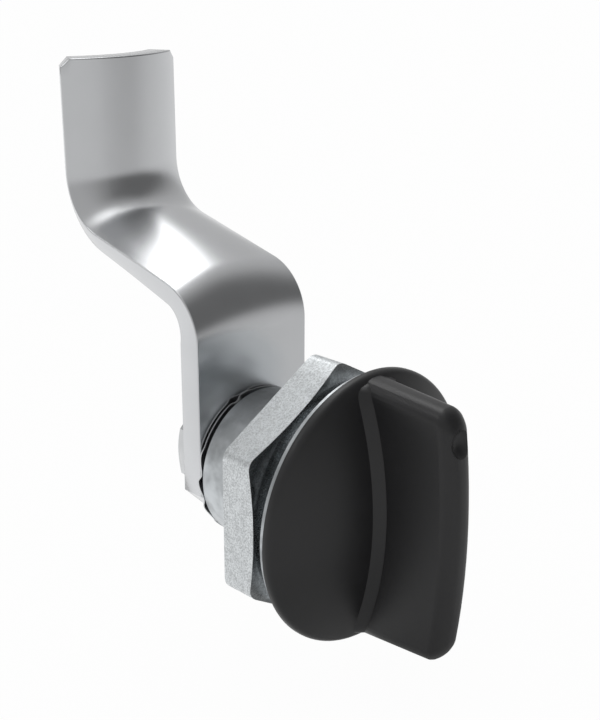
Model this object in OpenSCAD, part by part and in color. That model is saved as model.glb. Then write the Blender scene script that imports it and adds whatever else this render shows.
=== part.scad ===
// Quarter-turn cam latch with a wing knob, fixed in a panel by one large nut.
// The turning axis is Y and the panel's front face lies on y = 0. The knob is in front, at -Y.
// X points right as seen from the front, and Z points up along the cam.

/* [Body] */
// Diameter of the flange that lies on the panel
flange_d = 30.7; // [30:0.1:36]
// Thickness of the flange rim
flange_t = 0.65; // [0.5:0.05:1.2]
// Width of the boss past the barrel, in front of the flange
boss_step = 1.6; // [1.4:0.1:2]
// Height of the boss above the flange rim
boss_h = 0.9; // [0.6:0.1:1.2]
// Outer diameter of the threaded barrel
thread_d = 21.8; // [20.5:0.1:22]
// Distance across the two flats of the barrel
barrel_flats = 20.4; // [19.5:0.1:20.4]
// Length of the threaded barrel behind the flange
thread_l = 9.2; // [8:0.1:10]
// Diameter of the smooth sleeve behind the barrel
sleeve_d = 17.8; // [17.4:0.1:19]
// Wall of the sleeve round its rear pocket
sleeve_wall = 2.4; // [2.2:0.1:2.7]
// Distance from the flange's back to the end of the sleeve
body_l = 16; // [16:0.5:30]
// Distance from the barrel to the groove of the flange's seal
face_seal_gap = 0.25; // [0.2:0.05:0.4]
// Thickness of the flange's seal
face_seal_t = 0.8; // [0.5:0.05:0.8]

/* [Panel nut] */
// Width of the nut past the barrel, at its flats
nut_wall = 2.6; // [2:0.1:4]
// Thickness of the nut
nut_t = 4.6; // [3:0.1:5.5]
// Free gap between the flange and the nut, where the panel goes
panel_gap = 2.6; // [2.1:0.1:3.5]
// Depth by which the nut's corners are turned down
nut_corner_cut = 0.42; // [0.1:0.02:1]
// Chamfer of the turned corners
nut_chamfer = 0.1; // [0.05:0.01:0.5]

/* [Knob] */
// Overhang of the knob's round foot past the flange
knob_over = 0.2; // [0:0.02:1]
// Height of the foot's plain rim
knob_rim = 0.4; // [0.3:0.05:1]
// Chamfer of the foot's rear edge
knob_back = 0.15; // [0.1:0.05:0.35]
// Rounding between the rim and the dome
knob_rim_r = 0.9; // [0.6:0.1:1.2]
// Height of the dome's middle above the panel
knob_dome = 4.95; // [4.6:0.05:6]
// Height of the wing's nose above the panel
wing_h = 14.25; // [12:0.25:20]
// Thickness of the wing at its foot
wing_foot = 4.2; // [3.8:0.1:6]
// Thickness of the wing at its nose
wing_nose = 3.8; // [3.4:0.1:4.2]
// Distance from the wing's foot to the knob's edge, at either end
wing_end_gap = 0.25; // [0.1:0.05:2]
// Slant of the wing's ends, from the foot to the nose
wing_end_slant = 0.95; // [0:0.05:3]
// Radius of the arch along the wing's nose
wing_arch_r = 84; // [60:1:200]
// Rounding of the wing's long edges
wing_round = 1.6; // [0.3:0.05:1.7]
// Length of the rounding at the nose's two corners
wing_corner_l = 2.5; // [1.6:0.1:4]
// Height of the rounding at the nose
wing_corner_h = 1.9; // [1:0.1:3]
// Width of the sloping band along the wing's foot
band_w = 1.1; // [0.6:0.1:2]
// Height of the sloping band
band_h = 0.9; // [0.6:0.1:2]
// Diameter of the position mark in the nose
mark_d = 3.1; // [1.5:0.1:3.2]
// Depth of the position mark
mark_deep = 0.9; // [0.3:0.1:1.2]
// Distance of the position mark from the axis
mark_at = 11.2; // [6:0.1:11.5]

/* [Spindle] */
// Diameter of the spindle's journal
spindle_d = 10; // [9.6:0.1:10.4]
// Width of the spindle's collar past the journal
collar_step = 2; // [1:0.1:3]
// Width of the square head in the knob
head_af = 8; // [6:0.1:8]
// Height of the square head
head_h = 2; // [1.5:0.1:2.4]
// Thickness of the tang in the wing
tang_t = 2; // [1.4:0.1:2.2]
// Height of the tang above the square head
tang_h = 5; // [3:0.1:6]
// Diameter of the cross hole in the tang
tang_hole_d = 2.4; // [1.5:0.1:2.6]
// Width of the square shank that turns the cam
shank_af = 8; // [7.4:0.1:8.2]
// Depth by which the shank's corners are turned down below the journal
shank_step = 0.35; // [0.3:0.05:0.7]
// Distance from the flange's back to the seal's groove
seal_at = 3; // [1:0.1:6]
// Width of the seal's groove
seal_w = 1.7; // [1.5:0.1:2.2]
// Depth of the seal's groove
seal_deep = 1.2; // [1:0.05:1.3]

/* [Stop] */
// Angle through which the knob turns
turn = 90; // [60:5:120]
// Thickness of the stop washer
stop_t = 1.2; // [0.8:0.1:1.4]
// Depth of the rear pocket for the stop washer and the retaining ring
pocket_deep = 3; // [2.8:0.1:3.5]
// Reach of the stop lug past the pocket's wall
lug_reach = 1.2; // [0.6:0.1:1.2]
// Angle that the stop lug fills
lug_a = 30; // [20:1:40]
// Thickness of the retaining ring
ring_t = 1; // [0.8:0.1:1.2]
// Depth of the retaining ring's groove in the shank
ring_groove = 0.35; // [0.2:0.05:0.5]

/* [Spring washer] */
// Space between the sleeve's end and the cam
spring_h = 0.73; // [0.6:0.01:1.2]
// Thickness of the spring washer's sheet
spring_t = 0.3; // [0.2:0.05:0.4]
// Overhang of the spring washer past the sleeve
spring_over = 0.02; // [0:0.01:0.3]
// Height of the spring washer's plain stretches, as a share of its swing
spring_plain = 0.65; // [0.2:0.05:0.8]

/* [Cam] */
// Width of the cam
cam_w = 16.9; // [14:0.1:20]
// Thickness of the cam's sheet
cam_t = 3; // [2:0.1:3.4]
// Height of the cam's tip above the axis
cam_h = 45.1; // [40:0.5:60]
// Distance by which the tip lies behind the hub
cam_offset = 23.05; // [18:0.05:30]
// Height at which the hub's plane meets the slope
bend_z = 20.9; // [18:0.1:24]
// Rise of the slope between the bends, in degrees
slope_a = 13.8; // [0:0.2:20]
// Inner radius of the lower bend
bend_in_r = 3.8; // [2:0.1:6]
// Front radius of the upper bend along the sides
bend_front_r = 6.8; // [4:0.1:8]
// Angle at which the tip's rolled sides turn back, in degrees
roll_a = 33; // [1:1:36]
// Chamfer of the tip's corners
tip_chamfer = 1; // [0.4:0.1:2]
// Distance from the axis to the hub's lower edge
hub_low = 8; // [7:0.1:10]
// Distance from the axis to the start of the hub's chamfers
hub_side_low = 2.3; // [0:0.1:5]

/* [Cam screw] */
// Diameter of the cam screw
screw_d = 6; // [5:0.5:6.5]
// Width of the screw head across its flats
screw_af = 10; // [9:0.5:11]
// Height of the screw head
screw_head_h = 4; // [3:0.05:4.5]
// Length of the screw below its head
screw_l = 12; // [9:0.5:13]
// Diameter of the lock washer
lock_d = 11.4; // [10.8:0.1:12]
// Thickness of the lock washer
lock_t = 1.27; // [1:0.01:1.6]

/* [Hidden] */
$fn = 96;

// Clearances: radial running fit, axial running gap, fit of pieces that turn together
run_gap = 0.05;
end_gap = 0.08;
seat_gap = 0.03;
// Rests of the spring washer's crimps, and of the stop lug at either end
touch_gap = 0.03;
stop_slack_a = 1;
eps = 0.01;

boss_d = thread_d + 2 * boss_step;
nut_af = thread_d + 2 * nut_wall;
boss_y = -flange_t - boss_h;
face_seal_d = thread_d + 2 * face_seal_gap + face_seal_t;
knob_d = flange_d + 2 * knob_over;
spring_d = sleeve_d + 2 * spring_over;
pocket_d = sleeve_d - 2 * sleeve_wall;
spring_hole_d = pocket_d + 8 * run_gap;
collar_d = spindle_d + 2 * collar_step;
shank_d = spindle_d - 2 * shank_step;
foot_y = -flange_t - end_gap;
collar_front_y = boss_y - end_gap;
collar_back_y = -end_gap - run_gap;
head_y = collar_front_y - head_h;
pocket_y = body_l - pocket_deep;
stop_y = pocket_y + end_gap;
ring_y = stop_y + stop_t + seat_gap;
lug_r = pocket_d / 2 + lug_reach;
lug_mid_a = -turn / 2;
ring_groove_r = shank_d / 2 - ring_groove;
ring_r = pocket_d / 2 - 4 * end_gap;
cam_y = body_l + spring_h;
cam_back_y = cam_y + cam_t;
tip_y = cam_y + cam_offset;
shank_end_y = cam_back_y - 0.5;
head_under_y = cam_back_y + lock_t;
edge = 0.15;

// Bends of the cam, along the front edge of its sides
turn_a = 90 - slope_a;
low_r = bend_in_r + cam_t;
bend_start_z = bend_z - low_r * tan(turn_a / 2);
tip_start_z = bend_z + cam_offset * tan(slope_a) + bend_front_r * tan(turn_a / 2);
slope_l = cam_offset / cos(slope_a) - (low_r + bend_front_r) * tan(turn_a / 2);
low_l = low_r * turn_a * PI / 180;
up_l = bend_front_r * turn_a * PI / 180;
rolled_l = low_l + slope_l + up_l;

// A flat shape drawn as seen from the front, from y0 back over a thickness
module upright(y0, t) {
  translate([0, y0 + t, 0]) rotate([90, 0, 0]) linear_extrude(t) children();
}

// A shape turned about the Y axis, drawn as radius and depth
module turned() {
  rotate([-90, 0, 0]) rotate_extrude() children();
}

// A plain round bar along Y
module bar(d, y0, y1) {
  translate([0, y0, 0]) rotate([-90, 0, 0]) cylinder(d = d, h = y1 - y0);
}

// A flat wedge between two angles, for sectors and split rings
module wedge(r, a0, a1) {
  mid = (a0 + a1) / 2;
  far = 1.5 * r;
  polygon([[0, 0], far * [cos(a0), sin(a0)], far * [cos(mid), sin(mid)], far * [cos(a1), sin(a1)]]);
}

// Body: flange, boss, threaded barrel with two flats, smooth sleeve and the rear pocket
module housing() {
  r = flange_d / 2;
  sleeve_r = sleeve_d / 2;
  color([0.74, 0.76, 0.77]) difference() {
    union() {
      turned() polygon([[0, boss_y], [boss_d / 2 - edge, boss_y], [boss_d / 2, boss_y + edge],
        [boss_d / 2, -flange_t], [r - edge, -flange_t], [r, edge - flange_t], [r, 0], [0, 0]]);
      intersection() {
        bar(thread_d, -eps, thread_l);
        translate([-barrel_flats / 2, -1, -thread_d]) cube([barrel_flats, thread_l + 2, 2 * thread_d]);
      }
      turned() polygon([[0, 0], [sleeve_r, 0], [sleeve_r, body_l - edge],
        [sleeve_r - edge, body_l], [0, body_l]]);
    }
    turned() translate([face_seal_d / 2 - face_seal_t / 2 - seat_gap, -face_seal_t - seat_gap])
      square([face_seal_t + 2 * seat_gap, face_seal_t + 1]);
    bar(spindle_d + 2 * run_gap, boss_y - 1, body_l + 1);
    bar(collar_d + 4 * run_gap, boss_y - 1, -end_gap);
    bar(pocket_d, pocket_y, body_l + 1);
    upright(pocket_y, pocket_deep + 1) intersection() {
      circle(r = lug_r + 4 * run_gap);
      wedge(sleeve_d, lug_mid_a - lug_a / 2 - stop_slack_a, lug_mid_a + turn + lug_a / 2 + stop_slack_a);
    }
  }
}

// Sealing ring in the groove of the flange's back
module flange_seal() {
  color([0.08, 0.08, 0.08]) turned()
    translate([face_seal_d / 2, -face_seal_t / 2 - seat_gap / 2]) circle(d = face_seal_t);
}

// Panel nut: a hexagon with its corners turned down
module hex_nut() {
  turned_r = nut_af / 2 / cos(30) - nut_corner_cut;
  face_r = turned_r - nut_chamfer;
  color([0.69, 0.71, 0.72]) difference() {
    intersection() {
      upright(panel_gap, nut_t) rotate(90) circle(d = nut_af / cos(30), $fn = 6);
      translate([0, panel_gap, 0]) turned() polygon([[0, 0], [face_r, 0], [turned_r, nut_chamfer],
        [turned_r, nut_t - nut_chamfer], [face_r, nut_t], [0, nut_t]]);
    }
    bar(thread_d + 2 * run_gap, panel_gap - 1, panel_gap + nut_t + 1);
  }
}

// A body swept through rings of points, which turn anticlockwise seen from the sweep's far end.
// Point i of a ring lies across from point n - 1 - i.
module loft(rings) {
  n = len(rings[0]);
  last = len(rings) - 1;
  sides = [for (j = [0:last - 1]) for (k = [0:n - 1])
    let (a = j * n + k, b = j * n + (k + 1) % n, c = b + n, d = a + n)
      each [[a, c, b], [a, d, c]]];
  ends = [for (j = [0, last]) for (i = [0:n / 2 - 2])
    let (a = j * n + i, b = a + 1, c = j * n + n - 2 - i, d = c + 1)
      each (j == 0 ? [[a, b, c], [a, c, d]] : [[a, c, b], [a, d, c]])];
  polyhedron([for (r = rings) each r], concat(sides, ends), convexity = 6);
}

// Dome of the foot: its radius makes it run smoothly into the rim's rounding
rim_y = foot_y - knob_rim;
rim_mid_r = knob_d / 2 - knob_rim_r;
dome_up = knob_dome + rim_y;
dome_r = (rim_mid_r * rim_mid_r + dome_up * dome_up - knob_rim_r * knob_rim_r)
  / (2 * (dome_up - knob_rim_r));
dome_a = asin(rim_mid_r / (dome_r - knob_rim_r));
function dome_y(r) = dome_r - knob_dome - sqrt(dome_r * dome_r - r * r);

// Height of the nose's arch against its middle
function arch(z) = sqrt(wing_arch_r * wing_arch_r - z * z) - wing_arch_r;

// Half thickness and half length of the wing at a share of its height
function wing_half_t(f) = (wing_foot + (wing_nose - wing_foot) * f) / 2;
function wing_half_l(f) = knob_d / 2 - wing_end_gap - wing_end_slant * f;

// One level of the wing: a long outline with round ends, raised along the arch
function wing_level(h, inset_x, inset_z) =
  let (f = h / wing_h, t = wing_half_t(f) - inset_x, l = wing_half_l(f) - inset_z,
    r = min(wing_round, t - 0.05), q = 6, m = 12,
    half = concat([for (i = [0:q]) let (a = i * 90 / q) [t - r + r * sin(a), l - r + r * cos(a)]],
      [for (i = [1:m - 1]) [t, (l - r) * (1 - 2 * i / m)]],
      [for (i = [0:q]) let (a = i * 90 / q) [t - r + r * cos(a), r - l - r * sin(a)]]),
    n = len(half))
  [for (i = [0:2 * n - 1]) let (side = i < n ? -1 : 1, p = half[i < n ? i : 2 * n - 1 - i])
    [side * p[0], -h - arch(p[1]) * f, p[1]]];

// Inset at height h of a rounding that starts at height h0 and is up high and deep wide
function rounding(h, h0, up, deep) = let (s = max(0, min(1, (h - h0) / up))) deep * (1 - sqrt(1 - s * s));

// Wing: drafted sides, slanted ends and a nose that follows a long arc, with rounded edges
module wing() {
  start = wing_h - wing_corner_h;
  join = asin(1 - wing_round / wing_corner_h);
  heights = concat([for (i = [0:4]) start + wing_corner_h * sin(join * i / 4)],
    [for (i = [1:6]) wing_h - wing_round * (1 - sin(90 * i / 6))]);
  loft(concat([wing_level(-foot_y + knob_rim / 2, 0, 0)], [for (h = heights)
    wing_level(h, rounding(h, wing_h - wing_round, wing_round, wing_round),
      rounding(h, start, wing_corner_h, wing_corner_l))]));
}

// Sloping band along both sides of the wing's foot, which follows the dome
module band() {
  end = wing_half_l(0) - wing_round / 2;
  steps = 24;
  loft([for (j = [0:steps]) let (z = end * sin(90 * (2 * j / steps - 1)),
      narrow = sqrt(1 - 0.98 * pow(z / end, 16)), t = wing_half_t(0.2) - wing_round * (1 - narrow),
      w = t + band_w * narrow, y = dome_y(norm([w, z])), top = y - band_h * narrow)
    [[-w, y + 0.5, z], [-w, y, z], [-t, top, z], [t, top, z], [w, y, z], [w, y + 0.5, z]]]);
}

// Knob: domed round foot and wing, moulded round the head of the spindle
module wing_knob() {
  ball = (mark_d * mark_d / 4 + mark_deep * mark_deep) / (2 * mark_deep);
  color([0.16, 0.16, 0.17]) difference() {
    union() {
      turned() polygon(concat([[0, foot_y], [knob_d / 2 - knob_back, foot_y],
        [knob_d / 2, foot_y - knob_back]],
        [for (i = [0:6]) let (a = (90 - dome_a) * i / 6)
          [rim_mid_r + knob_rim_r * cos(a), rim_y - knob_rim_r * sin(a)]],
        [for (i = [1:14]) let (a = dome_a * (1 - i / 14))
          [dome_r * sin(a), dome_r * (1 - cos(a)) - knob_dome]]));
      band();
      wing();
    }
    bar(boss_d + 8 * end_gap, collar_front_y, 0);
    spindle_head(seat_gap);
    translate([0, mark_deep - ball - wing_h - arch(mark_at), mark_at]) sphere(r = ball);
  }
}

// Head of the spindle in the knob: a square and a tang with a cross hole that the knob fills
module spindle_head(gap) {
  half = head_af / 2 + gap;
  tang = tang_t / 2 + gap;
  translate([-half, head_y - gap, -half]) cube([2 * half, head_h + gap + eps, 2 * half]);
  difference() {
    translate([-tang, head_y - tang_h - gap, -half]) cube([2 * tang, tang_h + 2 * gap, 2 * half]);
    translate([-half, head_y - tang_h / 2, 0]) rotate([0, 90, 0])
      cylinder(d = tang_hole_d - 2 * gap, h = 2 * half);
  }
}

// Spindle: collar, journal with the seal's groove, and the square shank with its tapped hole
module spindle() {
  color([0.62, 0.64, 0.66]) difference() {
    union() {
      spindle_head(0);
      bar(collar_d, collar_front_y, collar_back_y);
      bar(spindle_d, collar_back_y - eps, pocket_y);
      intersection() {
        upright(pocket_y - eps, shank_end_y - pocket_y + eps) square(shank_af, center = true);
        bar(shank_d, pocket_y - 1, shank_end_y);
      }
    }
    turned() translate([spindle_d / 2 - seal_deep, seal_at]) square([seal_deep + 1, seal_w]);
    turned() translate([ring_groove_r, ring_y - seat_gap / 2]) square([2, ring_t + seat_gap]);
    bar(screw_d, head_under_y - screw_l - 1, shank_end_y + 1);
  }
}

// Sealing ring in the groove of the journal
module shaft_seal() {
  inner_r = spindle_d / 2 - seal_deep;
  outer_r = spindle_d / 2 + run_gap - 0.02;
  cord_r = (outer_r - inner_r) / 2;
  color([0.08, 0.08, 0.08]) turned() translate([inner_r + cord_r, seal_at + seal_w / 2])
    circle(r = cord_r);
}

// Stop washer on the shank, with the lug that turns in the pocket's side cut
module stop_washer() {
  color([0.66, 0.67, 0.68]) upright(stop_y, stop_t) difference() {
    union() {
      circle(d = pocket_d - 4 * run_gap);
      intersection() {
        circle(r = lug_r);
        wedge(lug_r, lug_mid_a - lug_a / 2, lug_mid_a + lug_a / 2);
      }
    }
    intersection() {
      square(shank_af + 2 * seat_gap, center = true);
      circle(d = shank_d + 2 * seat_gap);
    }
  }
}

// Open retaining ring in the shank's corners
module retaining_ring() {
  color([0.3, 0.3, 0.31]) upright(ring_y, ring_t) difference() {
    circle(r = ring_r);
    circle(r = ring_groove_r + touch_gap);
    wedge(ring_r, 252, 288);
  }
}

// Path of the spring washer over half a turn, the other half being the same: the angle, and
// the share of its swing at which it lies, from 0 on the sleeve to 1 on the cam
waves = [[98, 1], [104, 1], [112, 0], [117, spring_plain], [153, spring_plain], [160, 1], [175, 0],
  [181, 1], [195, 0], [205, 1], [216, 0], [222, spring_plain], [272, spring_plain], [278, 1]];
function wave(a, i = 0) = a > waves[i + 1][0] ? wave(a, i + 1) :
  let (p = waves[i], q = waves[i + 1], f = (a - p[0]) / (q[0] - p[0]))
    p[1] + (q[1] - p[1]) * (1 - cos(180 * f)) / 2;
spring_swing = spring_h - spring_t - touch_gap;
function spring_y(a) = body_l + touch_gap
  + spring_swing * wave(waves[0][0] + ((a - waves[0][0]) % 180 + 180) % 180);

// Spring washer that keeps the cam and the spindle free of rattle
module spring_washer() {
  steps = 240;
  points = [for (i = [0:steps - 1]) let (a = i * 360 / steps, y = spring_y(a))
    for (p = [[spring_hole_d / 2, 0], [spring_d / 2, 0], [spring_d / 2, spring_t], [spring_hole_d / 2, spring_t]])
      [p[0] * cos(a), y + p[1], p[0] * sin(a)]];
  faces = [for (i = [0:steps - 1]) for (k = [0:3])
    let (a = 4 * i + k, b = 4 * i + (k + 1) % 4, n = 4 * ((i + 1) % steps), c = n + (k + 1) % 4, d = n + k)
      each [[a, b, c], [a, c, d]]];
  color([0.6, 0.61, 0.62]) polyhedron(points, faces, convexity = 6);
}

// Front edge of the cam's side at a distance along the bends: depth, height and slope angle
function side_line(s) =
  s < low_l ? let (g = s / low_l * turn_a)
    [cam_y + low_r * (1 - cos(g)), bend_start_z + low_r * sin(g), g]
  : s < low_l + slope_l ? let (d = s - low_l)
    [cam_y + low_r * (1 - cos(turn_a)) + d * cos(slope_a), bend_start_z + low_r * sin(turn_a)
      + d * sin(slope_a), turn_a]
  : s < rolled_l ? let (g = turn_a * (1 - (s - low_l - slope_l) / up_l))
    [tip_y - bend_front_r * (1 - cos(g)), tip_start_z - bend_front_r * sin(g), g]
  : [tip_y, tip_start_z + s - rolled_l, 0];

// One cross-section of the rolled sheet: an arc whose sides turn back by an angle
function section(s, half_w, steps) =
  let (e = side_line(s), roll = roll_a * sin(90 * min(s / rolled_l, 1)), r = cam_w / 2 / sin(max(roll, 0.2)),
    reach = asin(half_w / r), n = [-cos(e[2]), sin(e[2])])
  [for (k = [0:2 * steps + 1]) let (front = k <= steps, i = front ? k : 2 * steps + 1 - k,
    a = reach * (2 * i / steps - 1), q = front ? r : r - cam_t, h = q * cos(a) - r * cos(roll))
    [q * sin(a), e[0] + h * n[0], e[1] + h * n[1]]];

// Bent and rolled part of the cam, swept through its cross-sections
module rolled_arm() {
  across = 16;
  stations = concat(
    [for (i = [0:11]) [low_l * i / 12, cam_w / 2]],
    [for (i = [0:5]) [low_l + slope_l * i / 6, cam_w / 2]],
    [for (i = [0:12]) [low_l + slope_l + up_l * i / 12, cam_w / 2]],
    [[rolled_l + cam_h - tip_start_z - tip_chamfer, cam_w / 2],
     [rolled_l + cam_h - tip_start_z, cam_w / 2 - tip_chamfer]]);
  loft([for (p = stations) section(p[0], p[1], across)]);
}

// Cam: flat hub with the square hole, two bends and a tip rolled about its length
module cam() {
  half = cam_w / 2;
  low = half - (hub_low - hub_side_low);
  color([0.72, 0.73, 0.74]) union() {
    upright(cam_y, cam_t) difference() {
      polygon([[-half, bend_start_z], [-half, -hub_side_low], [-low, -hub_low],
        [low, -hub_low], [half, -hub_side_low], [half, bend_start_z]]);
      intersection() {
        square(shank_af + 2 * seat_gap, center = true);
        circle(d = shank_d + 2 * seat_gap);
      }
    }
    rolled_arm();
  }
}

// Split lock washer under the screw head
module lock_washer() {
  color([0.7, 0.71, 0.72]) upright(cam_back_y, lock_t) difference() {
    circle(d = lock_d);
    circle(d = screw_d + 0.2);
    wedge(lock_d, 84, 96);
  }
}

// Cam screw with a hexagon head
module cam_screw() {
  corner_r = screw_af / 2 / cos(30);
  bevel = (corner_r - screw_af / 2 * 0.95) * tan(30);
  color([0.8, 0.81, 0.82]) union() {
    intersection() {
      upright(head_under_y, screw_head_h) rotate(90) circle(r = corner_r, $fn = 6);
      translate([0, head_under_y, 0]) turned() polygon([[0, 0], [corner_r + 1, 0],
        [corner_r + 1, screw_head_h - bevel - tan(30)], [screw_af / 2 * 0.95, screw_head_h],
        [0, screw_head_h]]);
    }
    bar(screw_d - 0.1, head_under_y - screw_l, head_under_y + eps);
  }
}

housing();
flange_seal();
hex_nut();
wing_knob();
spindle();
shaft_seal();
stop_washer();
retaining_ring();
spring_washer();
cam();
lock_washer();
cam_screw();
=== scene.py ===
"""Quarter-turn cam latch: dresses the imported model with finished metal, plastic and rubber, in studio light."""
from math import asin, atan2, cos, pi, radians, sin, sqrt, tan

import bmesh
import bpy
from mathutils import Matrix, Vector


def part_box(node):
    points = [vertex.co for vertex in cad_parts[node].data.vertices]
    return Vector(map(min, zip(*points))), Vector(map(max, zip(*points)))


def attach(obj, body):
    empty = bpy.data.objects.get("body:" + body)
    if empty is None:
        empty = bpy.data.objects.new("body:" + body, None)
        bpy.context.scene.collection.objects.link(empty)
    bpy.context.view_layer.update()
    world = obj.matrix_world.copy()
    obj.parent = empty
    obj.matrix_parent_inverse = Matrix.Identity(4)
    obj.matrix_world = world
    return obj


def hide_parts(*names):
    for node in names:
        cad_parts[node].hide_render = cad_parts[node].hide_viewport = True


bl_info = {
    "name": "Cam latch",
    "version": (1, 0, 0),
    "blender": (4, 5, 0),
    "location": "View3D > Sidebar > Latch",
    "description": "Builds the finished pieces of a quarter-turn cam latch on its packed model",
    "category": "Object",
}

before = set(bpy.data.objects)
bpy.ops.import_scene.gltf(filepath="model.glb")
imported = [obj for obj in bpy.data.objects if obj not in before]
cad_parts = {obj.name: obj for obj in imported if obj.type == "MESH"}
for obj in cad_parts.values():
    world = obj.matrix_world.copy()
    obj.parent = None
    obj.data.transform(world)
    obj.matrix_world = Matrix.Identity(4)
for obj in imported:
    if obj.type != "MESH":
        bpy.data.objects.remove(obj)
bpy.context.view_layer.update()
MM = 0.001
DEGREES = 180 / pi

# Cam, in millimetres
CAM_BELOW = 8.0           # from the axis down to the hub's lower end
CAM_TIP_CUT = 1.0         # cut corners of the tip
CAM_HUB_CUT = 5.7         # cut corners of the hub
CAM_HOLE = 4.03           # half the width of the square hole
CAM_RIM = 0.21            # last cut before the rounded edge, which keeps the shading flat
CAM_COLUMNS = 26          # cuts across the width
BEND_STEP, TIP_STEP = 0.4, 1.5

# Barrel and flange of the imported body
CREST_R = 10.9 * MM
BARREL_END = 9.2 * MM
FLANGE_SOLID_R = 15.35 * MM
FLANGE_RIM_R = 15.1 * MM  # what lies outside this is the flange's rim
THREAD_STEPS = 8          # rings for each turn of the thread

# Nut
NUT_RADIUS_ROUND = 1.005  # share of the half width where the turned corners begin
NUT_FACE_ROUND = 0.985    # share of the half width where the flat face ends
NUT_BORE_R = 10.95 * MM
NUT_INSETS = 0.6 * MM, 0.5 * MM

# Front and rear of the spring washer's waves
SPRING_FRONT, SPRING_REAR = 16.03 * MM, 16.73 * MM

# Band along the wing's foot, in millimetres, 0.03 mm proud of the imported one
DOME_R, DOME_TOP = 39.05, 4.95
BAND_END, BAND_HALF, BAND_ROUND = 14.9, 2.06, 1.6
BAND_WIDE, BAND_HIGH, BAND_SUNK = 1.13, 0.93, 0.3
BAND_STEPS = 32

# Stage
FLOOR_Z = -0.0215
FLOOR_HALF = 3
CAMERA_AT = Vector((-90.820, -80.723, 60.091)) * MM
CAMERA_TURN = -45.275, 19.739, 0.205   # azimuth, elevation and roll
CAMERA_FOCUS, CAMERA_SENSOR, IMAGE_WIDTH = 1225.15, 36, 600   # focus in pixels of the image


# Shader maths

class Sock:
    """A shader socket whose arithmetic adds Math nodes."""

    def __init__(self, make, out):
        self.make, self.out = make, out

    def math(self, operation, *others):
        return self.make.node("ShaderNodeMath", {"operation": operation}, [self, *others])

    def __add__(self, other):
        return self.math("ADD", other)

    def __sub__(self, other):
        return self.math("SUBTRACT", other)

    def __rsub__(self, other):
        return self.make.node("ShaderNodeMath", {"operation": "SUBTRACT"}, [other, self])

    def __mul__(self, other):
        return self.math("MULTIPLY", other)

    __radd__, __rmul__ = __add__, __mul__

    def clamp(self, low, high):
        return self.math("MAXIMUM", low).math("MINIMUM", high)

    def step(self, low, high):
        """0 below low and 1 above high, with a smooth rise between."""
        return self.make.node("ShaderNodeMapRange", {"interpolation_type": "SMOOTHSTEP"},
                              {"Value": self, "From Min": low, "From Max": high})

    def axes(self):
        """The three numbers of a vector."""
        first = self.make.node("ShaderNodeSeparateXYZ", {}, [self])
        return [Sock(self.make, out) for out in first.out.node.outputs]


class Nodes:
    """Makes the nodes of one tree."""

    def __init__(self, tree):
        self.tree = tree
        tree.nodes.clear()

    def node(self, kind, settings, values, output=0):
        """One node: its settings first, then the values or links of its sockets."""
        n = self.tree.nodes.new(kind)
        for key, value in settings.items():
            setattr(n, key, value)
        self.fill(n, values)
        return Sock(self, n.outputs[output]) if n.outputs else None

    def fill(self, n, values):
        """Sets or links sockets, given by name or in their order."""
        for key, value in values.items() if isinstance(values, dict) else enumerate(values):
            if isinstance(value, Sock):
                self.tree.links.new(value.out, n.inputs[key])
            else:
                n.inputs[key].default_value = value


class Finish(Nodes):
    """A material with one Principled shader. Noise scales are in cells for each metre."""

    def __init__(self, name, **constants):
        self.mat = bpy.data.materials.new(name)
        self.mat.use_nodes = True
        super().__init__(self.mat.node_tree)
        self.shader = self.node("ShaderNodeBsdfPrincipled", {}, {})
        self.node("ShaderNodeOutputMaterial", {}, {"Surface": self.shader})
        self.set(**constants)
        self.place = self.node("ShaderNodeTexCoord", {}, {}, "Object")

    def set(self, **sockets):
        """Sockets of the shader, with _ for each space in a name."""
        self.fill(self.shader.out.node, {key.replace("_", " "): value for key, value in sockets.items()})

    def noise(self, scale, detail=3.0, rough=0.5):
        return self.node("ShaderNodeTexNoise", {}, {
            "Vector": self.place, "Scale": scale, "Detail": detail, "Roughness": rough})

    def mix(self, factor, a, b):
        """Colour a where the factor is 0, b where it is 1."""
        a, b = [(*c, 1) if isinstance(c, tuple) else c for c in (a, b)]
        return self.node("ShaderNodeMix", {"data_type": "RGBA"}, {0: factor, 6: a, 7: b}, 2)

    def bump(self, height, strength, distance):
        self.set(Normal=self.node("ShaderNodeBump", {}, {
            "Height": height, "Strength": strength, "Distance": distance}))


def shade(colour, share):
    return tuple(min(1, c * share) for c in colour)


def steel_plated(name, colour, dark, roughness=0.235):
    """Bright zinc plating, with soft clouds in its gloss and a faint grain."""
    f = Finish(name, Metallic=1)
    clouds = f.noise(180, 4, 0.6)
    grain = f.noise(5200, 2, 0.6)
    f.set(Base_Color=f.mix(clouds.step(0.3, 0.7), dark, colour),
          Roughness=roughness + (clouds - 0.5) * 0.05 + (grain - 0.5) * 0.04)
    f.bump(grain, 0.04, 0.02 * MM)
    return f.mat


def nut_galvanised(colour, dark, front, turned, slope):
    """Galvanised steel: a fine pale speckle over softer patches, with a smoother turned front whose colour is
    painted shade.
    The front is painted darker than the sides, and its chamfered cone darker still, for the shade that falls
    there behind the flange.
    The front is the plane at front, and the cone that leaves it with slope outside the radius turned."""
    f = Finish("galvanised", Metallic=1)
    patches = f.noise(1100, 3, 0.6)
    speckle = f.noise(4600, 3, 0.75)
    mask = (speckle * 0.76 + patches * 0.24).step(0.38, 0.61)
    x, y, z = f.place.axes()
    out = (x * x + z * z).math("SQRT") - turned
    face = 1 - (y - front - out.clamp(0.0, 1.0) * slope).step(0.03 * MM, 0.08 * MM)
    # Painted shade: the front face is coloured darker than the sides, and the chamfered cone at its corners
    # darker still
    flat = f.mix(mask, shade(dark, 0.72), dark)
    cone = f.mix(mask, shade(dark, 0.48), shade(dark, 0.68))
    front_painted_shade = f.mix(out.step(-0.1 * MM, 0.4 * MM), flat, cone)
    f.set(Base_Color=f.mix(face, f.mix(mask, dark, colour), front_painted_shade),
          Roughness=0.44 - mask * 0.08 - face * 0.12)
    f.bump(speckle, 0.22, 0.03 * MM)
    return f.mat


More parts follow.
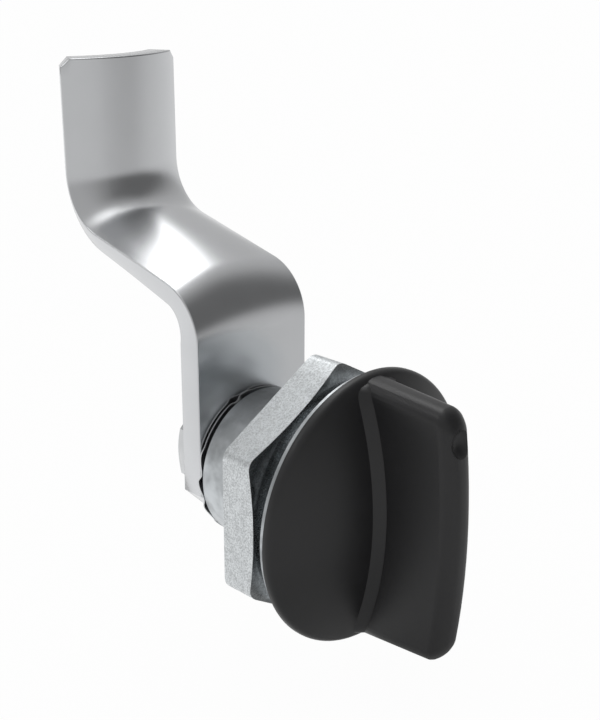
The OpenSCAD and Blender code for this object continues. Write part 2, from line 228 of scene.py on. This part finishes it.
def die_cast(colour, dark):
    """Die-cast metal with blotchy plating."""
    f = Finish("die_cast", Metallic=1)
    blotch = f.noise(230, 3, 0.55)
    fine = f.noise(1500, 3, 0.6)
    mask = (blotch + (fine - 0.5) * 0.10).step(0.34, 0.66)
    f.set(Base_Color=f.mix(mask, dark, colour), Roughness=0.44 - mask * 0.16)
    f.bump(blotch * 0.6 + fine * 0.4, 0.25, 0.1 * MM)
    return f.mat


def knob_plastic(colour):
    """Satin black moulded plastic with a very fine grain."""
    f = Finish("knob_plastic", IOR=1.5)
    grain = f.noise(5200, 3, 0.6)
    cloud = f.noise(240, 3, 0.5)
    f.set(Base_Color=f.mix(cloud, colour, shade(colour, 1.35)), Roughness=0.40 + (cloud - 0.5) * 0.08)
    f.bump(grain, 0.25, 0.03 * MM)
    return f.mat


def rubber(colour):
    """Matt black rubber with a little dust."""
    f = Finish("seal_rubber")
    dust = f.noise(1800, 3, 0.6)
    f.set(Base_Color=f.mix(dust, colour, shade(colour, 2.2)), Roughness=0.72 + dust * 0.15)
    f.bump(dust, 0.2, 0.03 * MM)
    return f.mat


# Sizes and colours

def length(name, description, mm):
    return bpy.props.FloatProperty(name=name, description=description, default=mm * MM, unit="LENGTH")


def tint(name, description, rgb):
    return bpy.props.FloatVectorProperty(name=name, description=description, default=rgb, subtype="COLOR")


class LatchSizes(bpy.types.PropertyGroup):
    """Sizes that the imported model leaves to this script."""
    cam_width: length("Cam width", "Width of the cam's plate", 16.9)
    cam_sheet: length("Cam sheet", "Thickness of the cam's plate", 3)
    cam_edge: length("Cam edge", "Rounding of the cam's sheared edges", 0.16)
    spring_sheet: length("Spring sheet", "Thickness of the crimped spring washer", 0.17)
    nut_corner: length("Nut corner", "How far the nut's corners are turned down along each flat", 0.87)
    nut_slope: bpy.props.FloatProperty(
        name="Nut chamfer", description="Setback of the nut's corners for each length of radius",
        default=0.34, unit="NONE")
    flange_r: length("Flange radius", "Radius of the flange's rim", 15.02)
    thread_pitch: length("Thread pitch", "Pitch of the barrel's thread", 1.5)
    thread_depth: length("Thread depth", "Depth of the barrel's thread", 0.8)


class LatchColours(bpy.types.PropertyGroup):
    """Colours of the finishes."""
    cam: tint("Cam", "Zinc plating of the cam", (0.675, 0.685, 0.70))
    nut: tint("Nut", "Bright crystals of the nut", (0.79, 0.82, 0.835))
    body: tint("Body", "Die-cast body", (0.62, 0.65, 0.67))
    knob: tint("Knob", "Black plastic of the knob", (0.0135, 0.0135, 0.0145))
    rubber: tint("Rubber", "Rubber of the seals", (0.02, 0.02, 0.02))


def sizes():
    return bpy.context.scene.latch_sizes


def colours():
    return bpy.context.scene.latch_colours


# Pieces

def own(bm, name, body, material, stands_for=(), sharp=32):
    """Turns a bmesh into a finished piece that rides on a body."""
    mesh = bpy.data.meshes.new(name)
    bm.to_mesh(mesh)
    bm.free()
    if "custom_normal" in mesh.attributes:
        mesh.attributes.remove(mesh.attributes["custom_normal"])
    mesh.shade_smooth()
    mesh.set_sharp_from_angle(angle=radians(sharp))
    mesh.materials.clear()
    mesh.materials.append(material)
    obj = bpy.data.objects.new(name, mesh)
    bpy.context.scene.collection.objects.link(obj)
    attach(obj, body)
    if stands_for:
        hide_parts(*stands_for)
    return obj


def copy_of(node):
    """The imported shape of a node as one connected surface."""
    bm = bmesh.new()
    bm.from_mesh(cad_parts[node].data)
    bmesh.ops.remove_doubles(bm, verts=bm.verts, dist=1.5e-6)
    return bm


def finish_node(node, material):
    """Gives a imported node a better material."""
    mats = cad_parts[node].data.materials
    mats.clear()
    mats.append(material)


def cut(bm, axis, at):
    """Cuts the mesh across an axis."""
    normal = Vector([1.0 if i == axis else 0.0 for i in range(3)])
    bmesh.ops.bisect_plane(bm, geom=bm.verts[:] + bm.edges[:] + bm.faces[:], dist=1e-7,
                           plane_co=normal * at, plane_no=normal)


def bevel(bm, edges, offset, segments):
    bmesh.ops.bevel(bm, geom=edges, offset=offset, segments=segments, affect="EDGES", profile=0.5, material=-1)


def rise(edge):
    """How far an edge reaches along Y."""
    return abs(edge.verts[0].co.y - edge.verts[1].co.y)


def from_axis(v):
    """The way from the latch's axis to a point, across Y."""
    return Vector((v.co.x, v.co.z))


class CamPath:
    """The line that the front edges of the cam's sides follow, in millimetres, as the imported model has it."""
    hub_y, offset, bend_z, slope = 16.73, 23.05, 20.9, 13.8
    low_inner, up_front, roll, height = 3.8, 6.8, 33.0, 45.1

    def __init__(self, width, sheet):
        self.w, self.t = width / MM, sheet / MM
        self.low = self.low_inner + self.t
        self.turn = 90 - self.slope
        half = tan(radians(self.turn / 2))
        self.start_z = self.bend_z - self.low * half
        self.tip_z = self.bend_z + self.offset * tan(radians(self.slope)) + self.up_front * half
        self.tip_y = self.hub_y + self.offset
        self.low_l = radians(self.turn) * self.low
        self.up_l = radians(self.turn) * self.up_front
        self.slope_l = self.offset / cos(radians(self.slope)) - (self.low + self.up_front) * half
        self.rolled = self.low_l + self.slope_l + self.up_l
        self.end = self.rolled + self.height - self.tip_z

    def line(self, s):
        """Y, Z and the lean of the plate at a length s from where the lower bend begins."""
        if s < 0:
            return self.hub_y, self.start_z + s, 0.0
        if s < self.low_l:
            g = radians(self.turn) * s / self.low_l
            return self.hub_y + self.low * (1 - cos(g)), self.start_z + self.low * sin(g), g
        g = radians(self.turn)
        if s < self.low_l + self.slope_l:
            d = s - self.low_l
            return (self.hub_y + self.low * (1 - cos(g)) + d * sin(g),
                    self.start_z + self.low * sin(g) + d * cos(g), g)
        if s < self.rolled:
            g *= 1 - (s - self.low_l - self.slope_l) / self.up_l
            return self.tip_y - self.up_front * (1 - cos(g)), self.tip_z - self.up_front * sin(g), g
        return self.tip_y, self.tip_z + s - self.rolled, 0.0

    def place(self, x, depth, s):
        """Where the bent and rolled plate has a point of the flat one, in metres."""
        y, z, g = self.line(s)
        roll = radians(self.roll * sin(pi / 2 * min(max(s, 0) / self.rolled, 1)))
        if roll < 1e-3:
            out, across = -depth, x
        else:
            r = self.w / 2 / sin(roll)
            a = asin(max(-1, min(1, x / r)))
            out = (r - depth) * cos(a) - r * cos(roll)
            across = (r - depth) * sin(a)
        return Vector((across, y - out * cos(g), z + out * sin(g))) * MM


class LATCH_OT_cam(bpy.types.Operator):
    """Shears the cam from flat sheet, then bends and rolls it"""
    bl_idname, bl_label = "latch.cam", "Cam"

    def execute(self, context):
        path = CamPath(sizes().cam_width, sizes().cam_sheet)
        low = -(path.start_z + CAM_BELOW)
        bm = bmesh.new()
        bmesh.ops.create_cube(bm, size=1, matrix=Matrix.Translation((0, path.t / 2, (low + path.end) / 2))
                              @ Matrix.Diagonal((path.w, path.t, path.end - low, 1)))
        for tip, reach in ((True, CAM_TIP_CUT), (False, CAM_HUB_CUT)):
            bevel(bm, [e for e in bm.edges if rise(e) > 1 and (e.verts[0].co.z > 0) == tip], reach, 1)
        bevel(bm, [e for e in bm.edges if rise(e) < 1e-4], sizes().cam_edge / MM, 3)
        self.grid(bm, path, low)
        self.hole(bm, path)
        for v in bm.verts:
            v.co = path.place(*v.co)
        bmesh.ops.recalc_face_normals(bm, faces=bm.faces)
        zinc = tuple(colours().cam)
        own(bm, "cam_plate", "rotor", steel_plated("cam_zinc", zinc, shade(zinc, 0.97)),
            stands_for=("cam",), sharp=50)
        return {"FINISHED"}

    def grid(self, bm, path, low):
        """Cuts the flat plate where it will bend and roll, and round its hole."""
        for at in (-CAM_HOLE, CAM_HOLE):
            cut(bm, 0, at)
            cut(bm, 2, at - path.start_z)
        at = 0.0
        while at < path.rolled + BEND_STEP / 2:
            cut(bm, 2, at)
            at += BEND_STEP
        while at < path.end - 3 * BEND_STEP:
            cut(bm, 2, at)
            at += TIP_STEP
        for i in range(CAM_COLUMNS + 1):
            cut(bm, 0, (path.w / 2 - CAM_RIM) * (2 * i / CAM_COLUMNS - 1))
        cut(bm, 2, path.end - CAM_RIM)
        cut(bm, 2, low + CAM_RIM)

    def hole(self, bm, path):
        """Opens the square hole for the spindle."""
        middle = []
        for f in bm.faces:
            centre = f.calc_center_median()
            if abs(f.normal.y) > 0.9 and abs(centre.x) < CAM_HOLE and abs(centre.z + path.start_z) < CAM_HOLE:
                middle.append(f)
        bmesh.ops.delete(bm, geom=middle, context="FACES")
        bmesh.ops.bridge_loops(bm, edges=[e for e in bm.edges if e.is_boundary])
        bmesh.ops.delete(bm, geom=[v for v in bm.verts if not v.link_faces], context="VERTS")


def band_place(across, depth, along):
    """A point of the band along the wing's foot, in metres, from its place in a cube from -1 to 1.
    The band follows the dome, and narrows only at its ends."""
    z = BAND_END * sin(pi / 2 * along)
    narrow = sqrt(1 - 0.98 * (abs(z) / BAND_END) ** 34)
    inner = BAND_HALF - BAND_ROUND * (1 - narrow)
    outer = inner + BAND_WIDE * narrow
    foot = DOME_R - DOME_TOP - sqrt(DOME_R ** 2 - outer ** 2 - z ** 2)
    x, top = (outer, foot) if abs(across) > 0.9 else (inner, foot - BAND_HIGH * narrow)
    return Vector((x if across > 0 else -x, foot + BAND_SUNK if depth > 0 else top, z)) * MM


class LATCH_OT_knob(bpy.types.Operator):
    """Smooths the knob and lengthens the band along its wing's foot"""
    bl_idname, bl_label = "latch.knob", "Wing knob"

    def execute(self, context):
        plastic = knob_plastic(tuple(colours().knob))
        own(copy_of("wing_knob"), "knob", "rotor", plastic,
            stands_for=("wing_knob",), sharp=24)
        bm = bmesh.new()
        bmesh.ops.create_cube(bm, size=2)
        for i in range(1, BAND_STEPS):
            cut(bm, 2, 2 * i / BAND_STEPS - 1)
        for at in (-0.5, 0.5):
            cut(bm, 0, at)
        for v in bm.verts:
            v.co = band_place(*v.co)
        bmesh.ops.recalc_face_normals(bm, faces=bm.faces)
        own(bm, "knob_band", "rotor", plastic, sharp=24)
        return {"FINISHED"}


def on_barrel(v):
    """Whether a point lies on the outside of the barrel."""
    slack = 0.01 * MM
    return from_axis(v).length > CREST_R - 2 * slack and -slack < v.co.y < BARREL_END + slack


class LATCH_OT_body(bpy.types.Operator):
    """Cuts the barrel's thread and gives the body and its seals their finishes"""
    bl_idname, bl_label = "latch.body", "Body"

    def execute(self, context):
        pitch, depth = sizes().thread_pitch, sizes().thread_depth
        bm = copy_of("housing")
        level = pitch / THREAD_STEPS
        while level < BARREL_END - 0.1 * MM:
            side = [f for f in bm.faces if all(on_barrel(v) for v in f.verts) and abs(f.normal.y) < 0.1]
            ring = {e for f in side for e in f.edges}
            corners = {v for f in side for v in f.verts}
            bmesh.ops.bisect_plane(bm, geom=list(corners) + list(ring) + side, dist=1e-7,
                                   plane_co=(0, level, 0), plane_no=(0, 1, 0))
            level += pitch / THREAD_STEPS
        slim = sizes().flange_r / FLANGE_SOLID_R
        margin = 0.05 * MM
        for v in bm.verts:
            if from_axis(v).length > FLANGE_RIM_R:
                v.co.x, v.co.z = v.co.x * slim, v.co.z * slim
            if on_barrel(v) and margin < v.co.y < BARREL_END - margin:
                turn = v.co.y / pitch + atan2(v.co.z, v.co.x) / (2 * pi)
                run_out = min(1, (BARREL_END - v.co.y) / pitch * 1.5)
                keep = 1 - depth * (1 - abs(2 * (turn % 1) - 1)) * run_out / CREST_R
                v.co.x, v.co.z = v.co.x * keep, v.co.z * keep
        cast = tuple(colours().body)
        own(bm, "body_shell", "body", die_cast(cast, shade(cast, 0.6)),
            stands_for=("housing",), sharp=30)
        black = rubber(tuple(colours().rubber))
        finish_node("flange_seal", black)
        finish_node("shaft_seal", black)
        return {"FINISHED"}


class LATCH_OT_nut(bpy.types.Operator):
    """Makes the panel nut: turned corners, a chamfered front and a galvanised finish"""
    bl_idname, bl_label = "latch.nut", "Panel nut"

    def execute(self, context):
        low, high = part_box("hex_nut")
        half, front, rear = (high[0] - low[0]) / 2, low[1], high[1]
        bm = bmesh.new()
        corner_r = half / cos(pi / 6)
        bmesh.ops.create_cone(bm, segments=6, radius1=corner_r, radius2=corner_r, depth=rear - front,
                              cap_ends=True)
        flats_up = max(v.co.x for v in bm.verts) > half * 1.01
        for angle, axis in ((pi / 6 if flats_up else 0, "Z"), (-pi / 2, "X")):
            bmesh.ops.rotate(bm, verts=bm.verts, cent=(0, 0, 0), matrix=Matrix.Rotation(angle, 3, axis))
        bmesh.ops.translate(bm, verts=bm.verts, vec=(0, (front + rear) / 2, 0))
        bevel(bm, [e for e in bm.edges if rise(e) > 1 * MM], sizes().nut_corner, 4)
        sides = [e for e in bm.edges if e.calc_length() > 10 * MM]
        bmesh.ops.subdivide_edges(bm, edges=sides, cuts=5, use_grid_fill=False)
        ends = [f for f in bm.faces if abs(f.normal.y) > 0.9]
        for width, radius in zip(NUT_INSETS, (half * NUT_FACE_ROUND, NUT_BORE_R)):
            bmesh.ops.inset_region(bm, faces=ends, thickness=width)
            ends = [f for f in bm.faces if abs(f.normal.y) > 0.9 and len(f.verts) > 12]
            for v in {v for f in ends for v in f.verts}:
                v.co.x, v.co.z = from_axis(v).normalized() * radius
        bmesh.ops.delete(bm, geom=ends, context="FACES")
        bmesh.ops.bridge_loops(bm, edges=[e for e in bm.edges if e.is_boundary])
        turned = half * NUT_RADIUS_ROUND
        for v in bm.verts:
            if v.co.y < (front + rear) / 2:
                v.co.y += max(0.0, from_axis(v).length - turned) * sizes().nut_slope
        bmesh.ops.recalc_face_normals(bm, faces=bm.faces)
        pale = tuple(colours().nut)
        own(bm, "nut_turned", "nut",
            nut_galvanised(pale, shade(pale, 0.64), front, turned, sizes().nut_slope),
            stands_for=("hex_nut",), sharp=28)
        return {"FINISHED"}


class LATCH_OT_small_parts(bpy.types.Operator):
    """Finishes the spindle, stop, rings, washers and the cam screw"""
    bl_idname, bl_label = "latch.small_parts", "Small parts"

    def execute(self, context):
        bright = steel_plated("bright_zinc", (0.72, 0.73, 0.74), (0.6, 0.61, 0.62), 0.26)
        dark = steel_plated("spring_steel", (0.30, 0.30, 0.31), (0.18, 0.18, 0.19), 0.34)
        for node in ("spindle", "stop_washer", "lock_washer", "cam_screw"):
            finish_node(node, bright)
        finish_node("retaining_ring", dark)

        sheet, reach = sizes().spring_sheet, SPRING_REAR - SPRING_FRONT
        bm = copy_of("spring_washer")
        pairs = {}
        for v in bm.verts:
            pairs.setdefault((round(v.co.x / MM, 2), round(v.co.z / MM, 2)), []).append(v)
        for front, rear in (sorted(pair, key=lambda v: v.co.y) for pair in pairs.values()):
            share = (front.co.y - SPRING_FRONT) / (reach - (rear.co.y - front.co.y))
            front.co.y = SPRING_FRONT + share * (reach - sheet)
            rear.co.y = front.co.y + sheet
        own(bm, "spring_wave", "rotor",
            steel_plated("spring_zinc", (0.72, 0.73, 0.74), (0.55, 0.56, 0.57), 0.3),
            stands_for=("spring_washer",), sharp=40)
        return {"FINISHED"}


# Stage

def angle_from(az, middle):
    """How far a compass direction is from another one, in degrees, from 0 to 180."""
    return (az - middle).math("WRAP", 180.0, -180.0).math("ABSOLUTE")


def studio_light(direction):
    """Brightness of the studio in each direction. Angles are in degrees: azimuth 0 is in front of the
    latch, where the knob points, and 90 is at the right as seen from there."""
    x, y, z = direction.axes()
    up = z.clamp(-1.0, 1.0).math("ARCSINE") * DEGREES
    az = x.math("ARCTAN2", y * -1.0) * DEGREES

    # Pale ground, brightest at the back, and a little darker at the front right
    back = angle_from(az, -5).step(60, 150)
    dip = 1 - angle_from(az, 28).step(5, 36)
    ground = 0.70 + 0.29 * back - 0.13 * dip + (0.34 * back - 0.24) * (up * -1.0).step(22, 46)

    # Grey walls and a bright ceiling
    ceiling = 0.95 * up.step(72, 86) + 0.20 * az.step(50, 90) * up.step(58, 72)
    walls = 0.50 + 0.10 * az.step(95, 145) + ceiling

    # A dark screen at the front right, which dims what lies behind it
    aside = angle_from(az, 40)
    screen = (1 - aside.step(16, 66)) * (up - 0.14 * aside).step(-8, 12) * (1 - up.step(48, 78))
    plain = (ground + (walls - ground) * up.step(-3, 13)) * (1 - 0.70 * screen)

    # A large soft box high at the back right, and a narrow one at the back left
    box = ((az + (up - 52) * 0.6).step(116, 124) * (1 - az.step(166, 172))
           * up.step(42, 49) * (1 - up.step(73, 79)))
    strip = (1 - angle_from(az, -125).step(12, 22)) * (1 - (up - 49).math("ABSOLUTE").step(1, 5.5))
    return plain + 2.4 * box + 4.0 * strip


def glow(nodes, kind, strength):
    """A shader of plain light, and its strength."""
    return nodes.node(kind, {}, {"Color": (1, 1, 1, 1), "Strength": strength})


def by_ray(nodes, ray, share, one, other):
    """One shader, and the other one by a share for rays of a kind."""
    kind = nodes.node("ShaderNodeLightPath", {}, {}, ray)
    return nodes.node("ShaderNodeMixShader", {}, [kind * share if share < 1 else kind, one, other])


def add_studio(scene):
    """Light by direction, and plain white for the camera."""
    world = bpy.data.worlds.new("studio")
    scene.world = world
    world.use_nodes = True
    sky = Nodes(world.node_tree)
    direction = sky.node("ShaderNodeTexCoord", {}, {}, "Generated")
    lit = glow(sky, "ShaderNodeBackground", studio_light(direction))
    white = glow(sky, "ShaderNodeBackground", 1.0)
    sky.node("ShaderNodeOutputWorld", {}, {"Surface": by_ray(sky, "Is Camera Ray", 1, lit, white)})


def add_floor(scene):
    """A white floor with a faint shadow. The metal sees the studio's light in its place."""
    bm = bmesh.new()
    bmesh.ops.create_grid(bm, x_segments=1, y_segments=1, size=FLOOR_HALF)
    bmesh.ops.translate(bm, verts=bm.verts, vec=(0, 0, FLOOR_Z))
    mesh = bpy.data.meshes.new("floor")
    bm.to_mesh(mesh)
    bm.free()
    floor = bpy.data.objects.new("floor", mesh)
    scene.collection.objects.link(floor)
    mat = bpy.data.materials.new("floor_white")
    mat.use_nodes = True
    pale = Nodes(mat.node_tree)
    place = pale.node("ShaderNodeTexCoord", {}, {}, "Object")
    towards = pale.node("ShaderNodeVectorMath", {"operation": "NORMALIZE"}, [place])
    matt = pale.node("ShaderNodeBsdfDiffuse", {}, {"Color": (0.88, 0.88, 0.88, 1)})
    lit = glow(pale, "ShaderNodeEmission", studio_light(towards))
    white = glow(pale, "ShaderNodeEmission", 1.0)
    shown = by_ray(pale, "Is Glossy Ray", 0.9, matt, lit)
    shown = by_ray(pale, "Is Camera Ray", 0.97, shown, white)
    pale.node("ShaderNodeOutputMaterial", {}, {"Surface": shown})
    mesh.materials.append(mat)


def add_camera(scene):
    """The camera of the photograph."""
    data = bpy.data.cameras.new("view")
    data.sensor_fit = "HORIZONTAL"
    data.sensor_width = CAMERA_SENSOR
    data.lens = CAMERA_FOCUS * CAMERA_SENSOR / IMAGE_WIDTH
    data.clip_start = 0.01
    data.clip_end = 20
    camera = bpy.data.objects.new("view", data)
    azimuth, elevation, roll = (radians(angle) for angle in CAMERA_TURN)
    back = Vector((sin(azimuth) * cos(elevation), -cos(azimuth) * cos(elevation), sin(elevation)))
    right = Vector((cos(azimuth), sin(azimuth), 0))
    up = back.cross(right)
    x = cos(roll) * right + sin(roll) * up
    y = -sin(roll) * right + cos(roll) * up
    turned = Matrix((x, y, back)).transposed().to_4x4()
    camera.matrix_world = Matrix.Translation(CAMERA_AT) @ turned
    scene.collection.objects.link(camera)
    scene.camera = camera


class LATCH_OT_stage(bpy.types.Operator):
    """Sets the pale floor, the soft light and the camera"""
    bl_idname, bl_label = "latch.stage", "Stage"

    def execute(self, context):
        context.scene.view_settings.view_transform = "Standard"
        add_studio(context.scene)
        add_floor(context.scene)
        add_camera(context.scene)
        return {"FINISHED"}


OPERATORS = (LATCH_OT_stage, LATCH_OT_knob, LATCH_OT_body, LATCH_OT_nut, LATCH_OT_cam, LATCH_OT_small_parts)


class LATCH_PT_panel(bpy.types.Panel):
    """Lists the pieces of the latch in the sidebar"""
    bl_idname, bl_label = "LATCH_PT_panel", "Cam latch"
    bl_space_type, bl_region_type, bl_category = "VIEW_3D", "UI", "Latch"

    def draw(self, context):
        for group in (context.scene.latch_sizes, context.scene.latch_colours):
            for key in group.__annotations__:
                self.layout.prop(group, key)
        for operator in OPERATORS:
            self.layout.operator(operator.bl_idname)


CLASSES = (LatchSizes, LatchColours) + OPERATORS + (LATCH_PT_panel,)


def register():
    for c in CLASSES:
        bpy.utils.register_class(c)
    bpy.types.Scene.latch_sizes = bpy.props.PointerProperty(type=LatchSizes)
    bpy.types.Scene.latch_colours = bpy.props.PointerProperty(type=LatchColours)


def unregister():
    del bpy.types.Scene.latch_colours
    del bpy.types.Scene.latch_sizes
    for c in reversed(CLASSES):
        bpy.utils.unregister_class(c)


def main():
    register()
    for operator in OPERATORS:
        group, name = operator.bl_idname.split(".")
        getattr(getattr(bpy.ops, group), name)()


if __name__ == "__main__":
    main()
